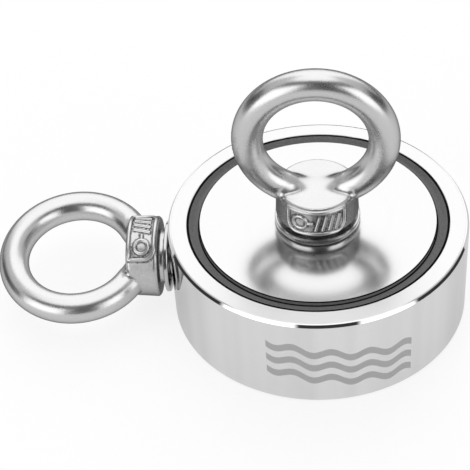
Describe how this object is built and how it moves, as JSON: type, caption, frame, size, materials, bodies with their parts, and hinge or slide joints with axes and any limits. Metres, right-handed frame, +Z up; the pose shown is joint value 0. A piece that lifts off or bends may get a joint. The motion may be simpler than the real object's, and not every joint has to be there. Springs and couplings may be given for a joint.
{
  "type": "magnet fishing magnet",
  "caption": "Round two-faced pot magnet with a screw-in eyebolt in its top face and one in its side wall, for pulling iron out of water on a rope.",
  "frame": {"origin": "centre of the lower working face", "axes": "+Z up along the pot's axis towards the top eyebolt; the side eyebolt points along -X"},
  "size_m": [0.1199, 0.075, 0.0716],
  "materials": {
    "nickel_plate": "bright nickel plate on turned steel, mirror gloss",
    "magnet_plate": "bright nickel plate on sintered magnet, ground flat",
    "polished_steel": "forged steel, tumbled and plated, satin gloss",
    "washer_steel": "stamped steel, plated",
    "black_epoxy": "cast potting epoxy, dull",
    "adhesive": "cured adhesive"
  },
  "bodies": {
    "magnet": {"pot_body": "nickel_plate", "top_magnet": "magnet_plate", "bottom_magnet": "magnet_plate", "top_adhesive_bed": "adhesive", "bottom_adhesive_bed": "adhesive", "top_epoxy_ring": "black_epoxy", "bottom_epoxy_ring": "black_epoxy"},
    "top_washer": {"top_washer": "washer_steel"},
    "top_eyebolt": {"top_eyebolt": "polished_steel"},
    "side_washer": {"side_washer": "washer_steel"},
    "side_eyebolt": {"side_eyebolt": "polished_steel"}
  },
  "joints": [
    {"name": "top_bolt_rise", "type": "slide", "parent": "magnet", "child": "top_washer", "axis": [0, 0, 1], "range_m": [0, 0.0105]},
    {"name": "top_bolt_turn", "type": "hinge", "parent": "top_washer", "child": "top_eyebolt", "pos_m": [0, 0, 0.0296], "axis": [0, 0, 1], "range_deg": [0, 2520]},
    {"name": "side_bolt_rise", "type": "slide", "parent": "magnet", "child": "side_washer", "axis": [-1, 0, 0], "range_m": [0, 0.0165]},
    {"name": "side_bolt_turn", "type": "hinge", "parent": "side_washer", "child": "side_eyebolt", "pos_m": [-0.0403, 0, 0.0132], "axis": [-1, 0, 0], "range_deg": [0, 3960]}
  ],
  "couplings": [
    {"joint": "top_bolt_rise", "follows": "top_bolt_turn", "m_per_rad": 0.00023873},
    {"joint": "side_bolt_rise", "follows": "side_bolt_turn", "m_per_rad": 0.00023873}
  ]
}
